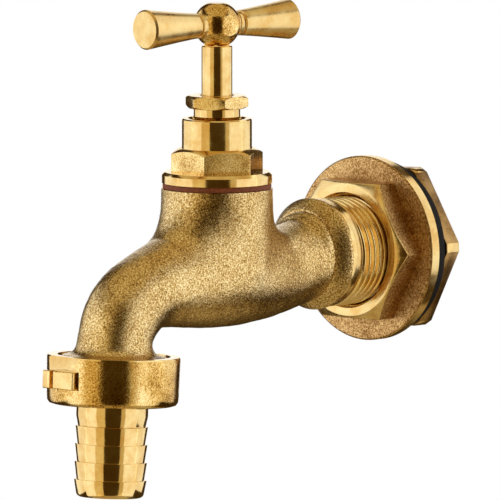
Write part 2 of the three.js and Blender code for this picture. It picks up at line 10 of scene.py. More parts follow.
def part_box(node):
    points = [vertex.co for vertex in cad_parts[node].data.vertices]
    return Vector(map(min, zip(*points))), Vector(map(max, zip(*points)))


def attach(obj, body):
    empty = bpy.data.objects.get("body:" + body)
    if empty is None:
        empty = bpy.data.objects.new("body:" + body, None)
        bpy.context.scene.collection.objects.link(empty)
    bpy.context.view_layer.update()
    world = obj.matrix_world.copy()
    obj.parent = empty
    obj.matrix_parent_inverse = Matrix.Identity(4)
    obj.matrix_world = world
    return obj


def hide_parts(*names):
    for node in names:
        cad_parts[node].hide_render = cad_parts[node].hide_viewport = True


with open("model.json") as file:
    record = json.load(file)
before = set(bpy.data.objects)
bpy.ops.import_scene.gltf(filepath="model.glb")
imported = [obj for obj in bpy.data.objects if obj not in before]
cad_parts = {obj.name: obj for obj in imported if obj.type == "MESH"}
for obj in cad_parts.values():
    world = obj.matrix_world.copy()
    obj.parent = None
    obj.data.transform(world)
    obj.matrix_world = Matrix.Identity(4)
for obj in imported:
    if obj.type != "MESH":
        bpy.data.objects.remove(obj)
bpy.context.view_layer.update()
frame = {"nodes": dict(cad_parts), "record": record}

# ---------------------------------------------------------------- places, in millimetres
MM = 0.001
joints = {joint["name"]: joint for joint in frame["record"]["behaviour"]["joints"]}
spindle_y = joints["handle_turn"]["pos_m"][1] / MM
outlet_y = joints["union_nut_turn"]["pos_m"][1] / MM
outlet_z = joints["union_nut_turn"]["pos_m"][2] / MM
outlet_down = Vector(joints["union_nut_turn"]["axis"])
outlet_lean = atan2(-outlet_down.y, -outlet_down.z)


def low(node, axis=2):
    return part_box(node)[0][axis] / MM


def high(node, axis=2):
    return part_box(node)[1][axis] / MM


# Frames of the three axes: each takes a piece turned about +Z to its place.
INLET = Matrix.Rotation(-pi / 2, 4, "X")
HEADWORK = Matrix.Translation((0, spindle_y * MM, 0))
OUTLET = Matrix.Translation((0, outlet_y * MM, outlet_z * MM)) @ Matrix.Rotation(-outlet_lean, 4, "X")

FACE_GAP = 0.1  # between faces stacked along the spindle
HUB_RADIUS = 7.15
HUB_UNDER_CUT = 0.85  # depth of the flat under the ball
hub_centre = low("handle_hub") + HUB_RADIUS - HUB_UNDER_CUT
HANDLE_YAW = radians(-7.3)
HANDLE = Matrix.Translation((0, spindle_y * MM, hub_centre * MM)) @ Matrix.Rotation(HANDLE_YAW, 4, "Z")

PITCH = 2.309  # G 1 and G 1 1/4 threads
THREAD_DEPTH = 1.3
PLATE_FRONT = -3.9  # along the inlet axis, from the wall
FITTING_FRONT = -12.0
BARREL_END = 13.0
BARREL_RADIUS = 20.95
FITTING_HEX = 41.8  # across flats, as for the other hexagons
BACK_NUT_HEX = 48.5
BACK_NUT_CORNERS = 54.4
BACK_NUT_TURN = -2.5  # degrees about the inlet axis
BONNET_HEX, BONNET_HEX_TURN = 25.0, -2.4
GLAND_HEX, GLAND_HEX_TURN = 17.2, -32.6
SPINDLE_RADIUS = 4.7
ARM_TIP = 28.5  # from the spindle's axis
UNION_BOTTOM = -14.9  # along the outlet axis, from the nut's top
LUG_TURN = -9  # degrees about the outlet axis
collar_back = -26.5
collar_front = -30.9
neck_top = low("bonnet_gasket") - FACE_GAP
neck_radius = 16.8
spout_reach = spindle_y - outlet_y
inlet_reach = collar_front - spindle_y


# ---------------------------------------------------------------- mesh helpers
def link_mesh(name, bm):
    mesh = bpy.data.meshes.new(name)
    bm.to_mesh(mesh)
    bm.free()
    obj = bpy.data.objects.new(name, mesh)
    bpy.context.scene.collection.objects.link(obj)
    return obj


def modified(bm, *modifiers):
    """A new bmesh: bm after the modifiers, each a kind and its settings."""
    work = link_mesh("work", bm)
    for kind, settings in modifiers:
        modifier = work.modifiers.new(kind, kind)
        for key, value in settings.items():
            setattr(modifier, key, value)
    shaped = work.evaluated_get(bpy.context.evaluated_depsgraph_get())
    result = bmesh.new()
    result.from_mesh(shaped.to_mesh())
    bpy.data.objects.remove(work)
    return result


def combined(bm, tool, operation):
    """bm after a boolean with another bmesh."""
    cutter = link_mesh("cutter", tool)
    result = modified(bm, ("BOOLEAN", {"object": cutter, "operation": operation, "solver": "EXACT"}))
    bpy.data.objects.remove(cutter)
    return result


def merged(*parts):
    """One bmesh that holds the parts' faces; the parts are used up."""
    whole = bmesh.new()
    for part in parts:
        mesh = bpy.data.meshes.new("part")
        part.to_mesh(mesh)
        part.free()
        whole.from_mesh(mesh)
        bpy.data.meshes.remove(mesh)
    return whole


def turned(profile, steps=96):
    """Solid of revolution about +Z from [radius, height] points in millimetres, closed to the first."""
    bm = bmesh.new()
    points = [bm.verts.new((radius * MM, 0, height * MM)) for radius, height in profile]
    lines = [bm.edges.new(pair) for pair in zip(points, points[1:])]
    if profile[0][0] > 0 or profile[-1][0] > 0:
        lines.append(bm.edges.new((points[-1], points[0])))
    bmesh.ops.spin(
        bm, geom=points + lines, cent=(0, 0, 0), axis=(0, 0, 1), angle=2 * pi, steps=steps,
        use_merge=True,
    )
    bmesh.ops.remove_doubles(bm, verts=bm.verts, dist=1e-6)
    bmesh.ops.recalc_face_normals(bm, faces=bm.faces)
    return bm


def block(corner_low, corner_high):
    bm = bmesh.new()
    bmesh.ops.create_cube(bm, size=1)
    size = [(b - a) * MM for a, b in zip(corner_low, corner_high)]
    middle = [(a + b) / 2 * MM for a, b in zip(corner_low, corner_high)]
    bmesh.ops.scale(bm, vec=size, verts=bm.verts)
    bmesh.ops.translate(bm, vec=middle, verts=bm.verts)
    return bm


def hexagon(across_flats, bottom, top, turn=0):
    """Hexagonal prism about +Z with a corner on +X, turned by degrees."""
    bm = bmesh.new()
    corner = across_flats / sqrt(3) * MM
    height = (top - bottom) * MM
    bmesh.ops.create_cone(
        bm, cap_ends=True, segments=6, radius1=corner, radius2=corner, depth=height,
        matrix=Matrix.Rotation(radians(turn + 90), 4, "Z"),
    )
    bmesh.ops.translate(bm, vec=(0, 0, (bottom + top) / 2 * MM), verts=bm.verts)
    return bm


def chamfered_hexagon(across_flats, bottom, top, turn, face_radius, ends):
    """Hexagon with its corners turned down at 30 degrees to face_radius at the chosen ends."""
    corner = across_flats / sqrt(3) + 0.3
    depth = (corner - face_radius) * tan(pi / 6)
    outline = [[0, bottom]]
    outline += [[face_radius, bottom], [corner, bottom + depth]] if "low" in ends else [[corner, bottom]]
    outline += [[corner, top - depth], [face_radius, top]] if "high" in ends else [[corner, top]]
    outline.append([0, top])
    return combined(hexagon(across_flats, bottom, top, turn), turned(outline, 128), "INTERSECT")


def soften(bm, width, angle=32, segments=2):
    """Rounds every edge sharper than angle."""
    bmesh.ops.remove_doubles(bm, verts=bm.verts, dist=2e-6)
    bmesh.ops.dissolve_degenerate(bm, dist=1e-6, edges=bm.edges)
    bm.normal_update()
    sharp = [
        edge for edge in bm.edges
        if edge.is_manifold and edge.calc_face_angle(0) > radians(angle)
    ]
    bmesh.ops.bevel(
        bm, geom=sharp, offset=width * MM, segments=segments, profile=0.5, affect="EDGES",
        clamp_overlap=True, material=-1,
    )
    return bm


def placed(bm, matrix):
    bmesh.ops.transform(bm, matrix=matrix, verts=bm.verts)
    return bm


def smooth_step(value):
    value = min(max(value, 0), 1)
    return value * value * (3 - 2 * value)


def cut_thread(bm, start, end, surface, depth=THREAD_DEPTH, pitch=PITCH):
    """Right-handed thread on the turned surface of that radius, faded at its two end heights."""
    flat = 0.14  # share of the pitch left flat at the crest and at the root
    for vert in bm.verts:
        radius = vert.co.xy.length / MM
        height = vert.co.z / MM
        if abs(radius - surface) > 0.05 or not start < height < end:
            continue
        phase = (height / pitch - atan2(vert.co.y, vert.co.x) / (2 * pi)) % 1
        groove = smooth_step((1 - abs(2 * phase - 1) - flat) / (1 - 2 * flat))
        fade = smooth_step(min(height - start, end - height) / (0.6 * pitch))
        scale = (radius - depth * groove * fade) / radius
        vert.co.x *= scale
        vert.co.y *= scale
    return bm


def heights(start, end, step):
    """Evenly spaced heights from start to end, about a step apart."""
    count = max(1, ceil(abs(end - start) / step))
    return [start + (end - start) * i / count for i in range(count + 1)]


def finish_piece(name, bm, body, materials, replaced=(), sharp=30):
    """Makes the bmesh a piece of the object. The first material covers it; others go on by face index."""
    bmesh.ops.dissolve_degenerate(bm, dist=1e-7, edges=bm.edges)
    bm.normal_update()
    piece = link_mesh(name, bm)
    for material in materials:
        piece.data.materials.append(material)
    piece.data.shade_smooth()
    piece.data.set_sharp_from_angle(angle=radians(sharp))
    if replaced:
        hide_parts(*replaced)
    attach(piece, body)
    return piece


# ---------------------------------------------------------------- materials
def linear(hex_color):
    """sRGB hex to linear RGBA."""
    def channel(text):
        value = int(text, 16) / 255
        return value / 12.92 if value <= 0.04045 else ((value + 0.055) / 1.055) ** 2.4
    return tuple(channel(hex_color[i:i + 2]) for i in (0, 2, 4)) + (1.0,)


def add(tree, kind, settings=None, **links):
    """Adds a node, sets its properties and unlinked inputs, and links the inputs given sockets.
    An input without its own name goes by in_ and its number; stops are (position, hex colour)."""
    node = tree.nodes.new(kind)
    for key, value in (settings or {}).items():
        if key == "stops":
            elements = node.color_ramp.elements
            while len(elements) < len(value):
                elements.new(0.5)
            for element, (position, color) in zip(elements, value):
                element.position, element.color = position, linear(color)
        elif key.startswith("in_"):
            node.inputs[int(key[3:])].default_value = value
        elif key in node.inputs:
            node.inputs[key].default_value = value
        else:
            setattr(node, key, value)
    for key, value in links.items():
        name = key.replace("_", " ")
        socket = node.inputs[int(key[3:])] if key.startswith("in_") else node.inputs[name]
        tree.links.new(value, socket)
    return node


def new_material(name):
    material = bpy.data.materials.new(name)
    material.use_nodes = True
    tree = material.node_tree
    shader = tree.nodes["Principled BSDF"]
    return material, tree, shader


def grained_brass(name, grain_shade_and_glint_colors, rough, depth, patch_share, seam=False):
    """Brass with a granular skin: three colours from its pits to its peaks, roughness, and depth in
    millimetres. The colours follow the grain's height, so they give the grain its own tone and also paint
    shade into the pits and glints onto the peaks. The grain of the real skin is about 0.25 mm; it is drawn
    at 0.5 mm so that it shows.
    A seam is the mould's parting line, a thin uneven ridge round the piece in the plane x = 0."""
    grain_size, patch_size = 0.5 * MM, 8 * MM
    seam_wander, seam_half_width = 1.2 * MM, 0.45 * MM
    material, tree, shader = new_material(name)
    place = add(tree, "ShaderNodeTexCoord").outputs["Object"]
    grain = add(
        tree, "ShaderNodeTexNoise", {"Scale": 1 / grain_size, "Detail": 4.0, "Roughness": 0.85},
        Vector=place,
    ).outputs["Fac"]
    patches = add(
        tree, "ShaderNodeTexNoise", {"Scale": 1 / patch_size, "Detail": 3.0}, Vector=place,
    ).outputs["Fac"]
    tone = add(tree, "ShaderNodeMix", {"data_type": "FLOAT", "Factor": patch_share}, A=grain, B=patches)
    # The colour follows the grain's height: painted shade darkens the pits and painted glints pale the
    # peaks, over the grain's own tone.
    color = add(
        tree, "ShaderNodeValToRGB", {"stops": list(zip((0.39, 0.49, 0.61), grain_shade_and_glint_colors))},
        Fac=tone.outputs[0],
    )
    tree.links.new(color.outputs["Color"], shader.inputs["Base Color"])
    height = grain
    if seam:
        parts = add(tree, "ShaderNodeSeparateXYZ", None, Vector=place)
        wander = add(
            tree, "ShaderNodeMath", {"operation": "MULTIPLY_ADD", "in_1": seam_wander},
            in_0=patches, in_2=parts.outputs["X"],
        )
        centred = add(
            tree, "ShaderNodeMath", {"operation": "SUBTRACT", "in_1": seam_wander / 2},
            in_0=wander.outputs[0],
        )
        away = add(tree, "ShaderNodeMath", {"operation": "ABSOLUTE"}, in_0=centred.outputs[0])
        ridge = add(
            tree, "ShaderNodeMapRange",
            {"From Min": 0.0, "From Max": seam_half_width, "To Min": 1.0, "To Max": 0.0},
            Value=away.outputs[0],
        )
        height = add(
            tree, "ShaderNodeMath", {"operation": "ADD"}, in_0=grain, in_1=ridge.outputs[0],
        ).outputs[0]
    bump = add(tree, "ShaderNodeBump", {"Strength": 1.0, "Distance": depth * MM}, Height=height)
    tree.links.new(bump.outputs["Normal"], shader.inputs["Normal"])
    shader.inputs["Metallic"].default_value = 1.0
    shader.inputs["Roughness"].default_value = rough
    return material


def sand_cast_brass():
    """Sand-cast brass as it leaves the mould: coarse glittering grain, yellow peaks with painted glints
    and brown pits with painted shade.
    """
    grain_shade_and_glint_colors = "4E320E", "CBA45C", "FFF0BE"
    return grained_brass("sand_cast_brass", grain_shade_and_glint_colors, rough=0.22, depth=0.08, patch_share=0.12, seam=True)


def dull_cast_brass():
    """Cast brass left dull: reddish brown, with pits darkened by painted shade."""
    grain_shade_and_glint_colors = "402408", "B4864C", "F2D296"
    return grained_brass("dull_cast_brass", grain_shade_and_glint_colors, rough=0.28, depth=0.12, patch_share=0.15)


def milled_brass():
    """Bar brass milled and tarnished: even dull brown with hardly any grain."""
    grain_shade_and_glint_colors = "5C4220", "957241", "B99660"
    return grained_brass("milled_brass", grain_shade_and_glint_colors, rough=0.3, depth=0.02, patch_share=0.6)


def tumbled_brass():
    """Cast brass polished in a tumbler: the grain is nearly gone and the skin mirrors softly."""
    grain_shade_and_glint_colors = "6A4410", "DCAE58", "FFECB0"
    return grained_brass("tumbled_brass", grain_shade_and_glint_colors, rough=0.12, depth=0.022, patch_share=0.3)


def forged_brass():
    """Hot-pressed brass: dull gold with a fine even grain."""
    grain_shade_and_glint_colors = "9A6E30", "E8C67E", "FFEDB8"
    return grained_brass("forged_brass", grain_shade_and_glint_colors, rough=0.15, depth=0.03, patch_share=0.3)


def turned_brass(name, axis_frame, rough=(0.12, 0.3)):
    """Brass turned on a lathe: bright, with fine rings round its axis and faint rubbed patches.
    A lathe leaves rings about 0.1 mm apart; they are drawn at 0.35 mm so that they show."""
    ring_spacing, patch_size, ring_depth = 0.35 * MM, 5 * MM, 0.02 * MM
    material, tree, shader = new_material(name)
    back = axis_frame.inverted()
    place = add(tree, "ShaderNodeTexCoord").outputs["Object"]
    axis = add(
        tree, "ShaderNodeMapping", {"Location": back.to_translation(), "Rotation": back.to_euler()},
        Vector=place,
    )
    parts = add(tree, "ShaderNodeSeparateXYZ", None, Vector=axis.outputs[0])
    flat = add(tree, "ShaderNodeCombineXYZ", None, X=parts.outputs["X"], Y=parts.outputs["Y"])
    radius = add(tree, "ShaderNodeVectorMath", {"operation": "LENGTH"}, in_0=flat.outputs[0])
    ring_place = add(
        tree, "ShaderNodeCombineXYZ", None, X=radius.outputs["Value"], Y=parts.outputs["Z"],
    )
    rings = add(
        tree, "ShaderNodeTexNoise", {"Scale": 1 / ring_spacing, "Detail": 2.0, "Roughness": 0.6},
        Vector=ring_place.outputs[0],
    )
    patches = add(
        tree, "ShaderNodeTexNoise", {"Scale": 1 / patch_size, "Detail": 5.0, "Roughness": 0.6},
        Vector=place,
    ).outputs["Fac"]
    color = add(
        tree, "ShaderNodeValToRGB", {"stops": ((0.35, "DDB56E"), (0.62, "EFD596"))}, Fac=patches,
    )
    tree.links.new(color.outputs["Color"], shader.inputs["Base Color"])
    gloss = add(
        tree, "ShaderNodeMapRange",
        {"To Min": rough[0], "To Max": rough[1], "From Min": 0.3, "From Max": 0.7}, Value=patches,
    )
    tree.links.new(gloss.outputs[0], shader.inputs["Roughness"])
    bump = add(
        tree, "ShaderNodeBump", {"Strength": 0.35, "Distance": ring_depth}, Height=rings.outputs["Fac"],
    )
    tree.links.new(bump.outputs["Normal"], shader.inputs["Normal"])
    shader.inputs["Metallic"].default_value = 1.0
    return material


def epdm_rubber():
    """Black EPDM sheet: dull, a little dusty."""
    dust_size, dust_depth = 1.2 * MM, 0.05 * MM
    material, tree, shader = new_material("epdm_rubber")
    place = add(tree, "ShaderNodeTexCoord").outputs["Object"]
    dust = add(
        tree, "ShaderNodeTexNoise", {"Scale": 1 / dust_size, "Detail": 4.0}, Vector=place,
    ).outputs["Fac"]
    color = add(tree, "ShaderNodeValToRGB", {"stops": ((0.4, "060505"), (0.8, "161412"))}, Fac=dust)
    tree.links.new(color.outputs["Color"], shader.inputs["Base Color"])
    bump = add(tree, "ShaderNodeBump", {"Strength": 0.25, "Distance": dust_depth}, Height=dust)
    tree.links.new(bump.outputs["Normal"], shader.inputs["Normal"])
    shader.inputs["Roughness"].default_value = 0.62
    shader.inputs["Specular IOR Level"].default_value = 0.2
    return material


def vulcanised_fibre():
    """Red-brown pressed fibre: matt, with short paper fibres lying flat in its layers."""
    fibre_length, fibre_depth, layers_per_length = 0.9 * MM, 0.05 * MM, 6
    material, tree, shader = new_material("vulcanised_fibre")
    place = add(tree, "ShaderNodeTexCoord").outputs["Object"]
    layers = add(tree, "ShaderNodeMapping", {"Scale": (1, 1, layers_per_length)}, Vector=place)
    fibres = add(
        tree, "ShaderNodeTexNoise", {"Scale": 1 / fibre_length, "Detail": 5.0},
        Vector=layers.outputs[0],
    ).outputs["Fac"]
    stops = (0.3, "4E2008"), (0.55, "8A441C"), (0.8, "AC6030")
    color = add(tree, "ShaderNodeValToRGB", {"stops": stops}, Fac=fibres)
    tree.links.new(color.outputs["Color"], shader.inputs["Base Color"])
    bump = add(tree, "ShaderNodeBump", {"Strength": 0.4, "Distance": fibre_depth}, Height=fibres)
    tree.links.new(bump.outputs["Normal"], shader.inputs["Normal"])
    shader.inputs["Roughness"].default_value = 0.7
    return material


def ptfe_packing():
    """Plaited PTFE cord: waxy off-white strands."""
    strand_width, strand_depth = 0.8 * MM, 0.1 * MM
    material, tree, shader = new_material("ptfe_packing")
    place = add(tree, "ShaderNodeTexCoord").outputs["Object"]
    strands = add(
        tree, "ShaderNodeTexVoronoi", {"Scale": 1 / strand_width}, Vector=place,
    ).outputs["Distance"]
    color = add(tree, "ShaderNodeValToRGB", {"stops": ((0.0, "F2EFE6"), (0.6, "CFC9B8"))}, Fac=strands)
    tree.links.new(color.outputs["Color"], shader.inputs["Base Color"])
    bump = add(tree, "ShaderNodeBump", {"Strength": 0.5, "Distance": strand_depth}, Height=strands)
    tree.links.new(bump.outputs["Normal"], shader.inputs["Normal"])
    shader.inputs["Roughness"].default_value = 0.45
    return material


CAST = sand_cast_brass()
PLATE = dull_cast_brass()
MILLED = milled_brass()
TUMBLED = tumbled_brass()
FORGED = forged_brass()
UPRIGHT = turned_brass("turned_brass_upright", HEADWORK, rough=(0.07, 0.18))
LEVEL = turned_brass("turned_brass_level", INLET)
SPOUT = turned_brass("turned_brass_spout", OUTLET, rough=(0.05, 0.15))
BAR = turned_brass(
    "turned_brass_bar", HANDLE @ Matrix.Rotation(pi / 2, 4, "X"), rough=(0.22, 0.38),
)
RUBBER = epdm_rubber()
FIBRE = vulcanised_fibre()
PACKING = ptfe_packing()


# ---------------------------------------------------------------- tap body
def body_tube():
    """Pipe, belly and spout: a curve through [share of the reach, z, outside radius] stations."""
    inlet_side = [
        [1.03, -1.2, 12.7], [0.707, -3.5, 12.9], [0.507, -4.1, 13.9], [0.249, -3.5, 15.6],
        [0, -2.5, 16.7],
    ]
    spout_side = [
        [0.23, -2.8, 16.0], [0.38, -3.4, 14.8], [0.525, -4.2, 13.4], [0.7, -5.9, 12.0],
        [0.857, -9.7, 11.9], [0.958, -15.3, 11.6], [0.993, -21, 11.3], [1.005, -25, 11.3],
    ]
    stations = [[spindle_y + share * inlet_reach, z, r] for share, z, r in inlet_side]
    stations += [[spindle_y - share * spout_reach, z, r] for share, z, r in spout_side]
    curve = bpy.data.curves.new("route", "CURVE")
    curve.dimensions = "3D"
    curve.bevel_depth = MM
    curve.bevel_resolution = 24
    curve.resolution_u = 8
    curve.use_fill_caps = True
    spline = curve.splines.new("BEZIER")
    spline.radius_interpolation = "CARDINAL"
    spline.bezier_points.add(len(stations) - 1)
    for point, (y, z, radius) in zip(spline.bezier_points, stations):
        point.co = (0, y * MM, z * MM)
        point.radius = radius
        point.handle_left_type = point.handle_right_type = "AUTO"
    obj = bpy.data.objects.new("route", curve)
    bpy.context.scene.collection.objects.link(obj)
    mesh = obj.evaluated_get(bpy.context.evaluated_depsgraph_get()).to_mesh()
    bm = bmesh.new()
    bm.from_mesh(mesh)
    bpy.data.objects.remove(obj)
    bmesh.ops.remove_doubles(bm, verts=bm.verts, dist=1e-6)
    bmesh.ops.recalc_face_normals(bm, faces=bm.faces)
    return bm


def blend_junctions(casting, tube, neck):
    """Fillets the joins of the neck with the pipe and the spout: where the two skins meet at an
    angle, the casting is moved out to their smooth union, then rubbed smooth."""
    largest, steps, reach = 13.0, 4, neck_radius + 10
    rubbings, rubbings_all_over = 200, 13

    def to_skin(tree, point):
        nearest, normal, _, distance = tree.find_nearest(point)
        return (distance if (point - nearest).dot(normal) > 0 else -distance) / MM, normal

    moved = []
    for vert in casting.verts:
        place = vert.co / MM
        near = smooth_step((place.z + 5) / 8) * smooth_step((reach - abs(place.y - spindle_y)) / 6)
        if place.z > 20 or near < 0.05:
            continue
        skin = None
        for step in range(steps):
            from_neck, neck_out = to_skin(neck, vert.co)
            from_tube, tube_out = to_skin(tube, vert.co)
            if skin is None:
                skin = min(from_neck, from_tube)
                spread = largest * near * min(1.0, 1.4 * (1 - neck_out.dot(tube_out)))
            if spread < 0.5:
                break
            if step == 0 and abs(from_neck - from_tube) < spread:
                moved.append(vert)
            share = min(1.0, max(0.0, 0.5 + 0.5 * (from_tube - from_neck) / spread))
            united = share * from_neck + (1 - share) * from_tube - spread * share * (1 - share)
            slope = share * neck_out + (1 - share) * tube_out
            vert.co += slope.normalized() * (skin - united) / max(slope.length, 0.5) * MM
    for step in range(rubbings):
        verts = casting.verts[:] if step < rubbings_all_over else moved
        bmesh.ops.smooth_vert(
            casting, verts=verts, factor=0.5, use_axis_x=True, use_axis_y=True, use_axis_z=True,
        )


def make_body():
    """The casting: its volumes are fused, their joins blended, and the skin made uneven."""
    voxel, spare = 0.5, 0.25
    belly_radius, belly_sink = 16.6, 2.5
    angles = [i / 12 * pi / 2 for i in range(13)]
    arc = [[belly_radius * cos(a), -belly_sink - belly_radius * sin(a)] for a in angles]
    neck = placed(turned([
        [0, neck_top + 4], [neck_radius + spare, neck_top + 4], [neck_radius + spare, -2], *arc,
    ]), HEADWORK)
    collar = placed(turned([
        [0, collar_front - 2.5], [12.8, collar_front - 2.5], [13.6, collar_front + 0.2],
        [13.6, collar_front + 1.5], [0, collar_front + 1.5],
    ]), INLET)
    spout_end = placed(turned([
        [0, 8], [11.3, 6], [11.5, 2.5], [12.8, 0.4], [16.7, -0.3], [16.7, -7.2], [0, -7.2],
    ]), OUTLET)
    tube = body_tube()
    skins = BVHTree.FromBMesh(tube), BVHTree.FromBMesh(neck)
    casting = modified(
        merged(tube, neck, collar, spout_end),
        ("REMESH", {"mode": "VOXEL", "voxel_size": voxel * MM, "adaptivity": 0.0}),
        ("SMOOTH", {"factor": 0.5, "iterations": 16}),
    )
    blend_junctions(casting, *skins)
    casting.normal_update()
    for vert in casting.verts:
        waves = noise.noise(vert.co / (7 * MM))
        dimples = noise.noise(vert.co / (2.2 * MM))
        vert.co += vert.normal * (0.12 * waves + 0.06 * dimples) * MM
    bmesh.ops.bisect_plane(
        casting, geom=casting.verts[:] + casting.edges[:] + casting.faces[:],
        plane_co=(0, 0, neck_top * MM), plane_no=(0, 0, 1), clear_outer=True,
    )
    bmesh.ops.holes_fill(casting, edges=casting.edges)
    bore_end = collar_front - 14
    inlet_bore = placed(turned([[0, bore_end], [9, bore_end], [9, 0], [0, 0]], 64), INLET)
    outlet_bore = placed(turned([[0, 9], [8, 9], [8, -10], [0, -10]], 64), OUTLET)
    casting = combined(casting, merged(inlet_bore, outlet_bore), "DIFFERENCE")
    finish_piece("body_casting", casting, "tap", [CAST], ["tap_body"], 40)


def make_collar():
    """The cone and land behind the pipe, trimmed to crisp edges."""
    ring = turned([
        [9.2, collar_front], [13.7, collar_front], [13.95, collar_front + 0.1],
        [17.0, collar_back - 1.1], [17.1, collar_back - 0.9], [17.1, collar_back - 0.2],
        [16.9, collar_back], [9.2, collar_back],
    ], 160)
    finish_piece("collar_casting", placed(ring, INLET), "tap", [CAST])


def make_inlet_thread():
    """The thread into the fitting, with a turned relief behind the collar."""
    start, end = collar_back - 1, -1.5
    crest, first_turn = 16.62, collar_back + 4.6
    outline = [
        [9.2, start], [15.9, start], [15.9, collar_back + 0.3], [16.25, collar_back + 1.0],
        [16.35, collar_back + 2.4], [16.1, collar_back + 3.6],
    ]
    outline += [[crest, height] for height in heights(first_turn, end - 0.8, PITCH / 18)]
    outline += [[crest - 0.8, end], [9.2, end]]
    thread = cut_thread(turned(outline, 160), first_turn - 0.4, end, crest)
    finish_piece("inlet_thread", placed(thread, INLET), "tap", [LEVEL], sharp=80)


# ---------------------------------------------------------------- bulkhead fitting
def by_place(piece, test):
    """Gives the second material to the faces that pass the test."""
    for face in piece.data.polygons:
        if test(face):
            face.material_index = 1


def make_fitting():
    """Cast plate and hexagon, machined on the front and the rim, and the threaded barrel."""
    rim, crest, bore = high("bulkhead_fitting", 0), BARREL_RADIUS, 15.2
    plate = turned([
        [15, PLATE_FRONT + 0.5], [rim - 1.2, PLATE_FRONT], [rim - 0.5, PLATE_FRONT + 0.05],
        [rim, PLATE_FRONT + 0.5], [rim, -0.3], [rim - 0.3, 0], [15, 0],
    ], 160)
    head = chamfered_hexagon(FITTING_HEX, FITTING_FRONT, PLATE_FRONT + 1.2, 0, 20.3, ["low"])
    hole = turned([
        [0, FITTING_FRONT - 1], [17.9, FITTING_FRONT - 0.05], [16.9, FITTING_FRONT + 1.1],
        [16.9, 0], [bore, 0.2], [bore, 20], [0, 20],
    ], 96)
    head = combined(soften(head, 0.35, 25, 3), hole, "DIFFERENCE")
    outline = [[bore, -0.5], [crest - 1.3, -0.5], [crest - 1.3, 1.0]]
    outline += [[crest, height] for height in heights(1.8, BARREL_END - 1, PITCH / 16)]
    outline += [[crest - 1, BARREL_END], [bore + 0.4, BARREL_END], [bore, BARREL_END - 0.4]]
    barrel = cut_thread(turned(outline, 128), 1.6, BARREL_END - 0.2, crest)
    cast = finish_piece(
        "fitting_casting", placed(merged(plate, head), INLET), "tap",
        [PLATE, LEVEL], ["bulkhead_fitting"],
    )

    def machined(face):
        radius = sqrt(face.center.x ** 2 + face.center.z ** 2) / MM
        rim_band = radius > rim - 0.9 and face.normal.y > -0.6
        front = face.center.y / MM < FITTING_FRONT + 3 and face.normal.y < -0.5
        return rim_band or front

    by_place(cast, machined)
    finish_piece("fitting_barrel", placed(barrel, INLET), "tap", [LEVEL], sharp=80)


def make_back_nut():
    """Milled hexagon whose corners are cut to narrow bright flats."""
    start, end = low("back_nut", 1), high("back_nut", 1)
    nut = combined(
        hexagon(BACK_NUT_HEX, start, end), hexagon(BACK_NUT_CORNERS, start - 1, end + 1, 30),
        "INTERSECT",
    )
    hole = turned([[0, start - 1], [21.3, start - 1], [21.3, end + 1], [0, end + 1]], 96)
    nut = soften(combined(nut, hole, "DIFFERENCE"), 0.25)
    nut = placed(nut, INLET @ Matrix.Rotation(radians(BACK_NUT_TURN), 4, "Z"))
    piece = finish_piece(
        "back_nut_hexagon", nut, "back_nut", [MILLED, LEVEL], ["back_nut"],
    )

    def corner_flat(face):
        facing = degrees(atan2(face.normal.z, face.normal.x)) + BACK_NUT_TURN
        return abs(face.normal.y) < 0.1 and abs(facing % 60 - 30) > 25

    by_place(piece, corner_flat)


def make_wall_gasket():
    """Rubber ring, a little bulged by the squeeze."""
    start, end = low("wall_gasket", 1), high("wall_gasket", 1)
    edge = high("wall_gasket", 0)
    ring = turned([
        [21.3, start], [edge - 0.3, start], [edge, start + 0.4], [edge + 0.12, (start + end) / 2],
        [edge, end - 0.4], [edge - 0.3, end], [21.3, end],
    ], 128)
    finish_piece("gasket_ring", placed(ring, INLET), "wall_gasket", [RUBBER], ["wall_gasket"])


# ---------------------------------------------------------------- headwork
def make_bonnet_gasket():
    """Fibre ring under the bonnet's flange."""
    start, end = low("bonnet_gasket"), high("bonnet_gasket")
    edge = high("bonnet_gasket", 0)
    ring = turned([
        [13.5, start], [edge, start], [edge + 0.1, (start + end) / 2], [edge, end], [13.5, end],
    ], 128)
    finish_piece(
        "fibre_ring", placed(ring, HEADWORK), "tap", [FIBRE], ["bonnet_gasket"],
    )


def wrench_flats(piece, start, end, inside):
    """Leaves the hexagon's sides, farther out than inside, as they were forged."""

    def forged(face):
        centre = face.center / MM
        out = sqrt(centre.x ** 2 + (centre.y - spindle_y) ** 2)
        return start < centre.z < end and out > inside and abs(face.normal.z) < 0.2

    by_place(piece, forged)


def make_bonnet():
    """Turned flange and barrel with a forged hexagon between them."""
    flange_low = high("bonnet_gasket") + FACE_GAP
    hex_low, hex_high, top = flange_low + 3.5, flange_low + 10.8, high("bonnet")
    edge = 16.85
    flange = turned([
        [8, flange_low], [edge - 0.2, flange_low], [edge, flange_low + 0.2], [edge, hex_low - 0.9],
        [edge - 0.25, hex_low - 0.6], [edge - 0.9, hex_low], [8, hex_low],
    ], 144)
    head = chamfered_hexagon(BONNET_HEX, hex_low - 0.5, hex_high, BONNET_HEX_TURN, 11.5, ["high"])
    barrel = turned([
        [7.4, hex_high - 1], [10.9, hex_high - 1], [10.75, hex_high + 0.2], [10.7, hex_high + 0.6],
        [10.7, top - 0.35], [10.35, top], [9.0, top], [8.3, top - 0.6], [8.2, top - 2], [7.4, top - 2],
    ], 128)
    shank_end, shank_top = low("bonnet"), flange_low + 0.5
    shank = turned([[10, shank_end], [13.2, shank_end], [13.2, shank_top], [10, shank_top]], 96)
    hole = turned([[0, hex_low - 2], [7.2, hex_low - 2], [7.2, hex_high + 1], [0, hex_high + 1]], 64)
    head = combined(soften(head, 0.3, 24, 3), hole, "DIFFERENCE")
    bonnet = placed(merged(flange, head, barrel, shank), HEADWORK)
    piece = finish_piece(
        "bonnet_turned", bonnet, "tap", [UPRIGHT, FORGED], ["bonnet"],
    )
    wrench_flats(piece, hex_low, hex_high, 11.2)


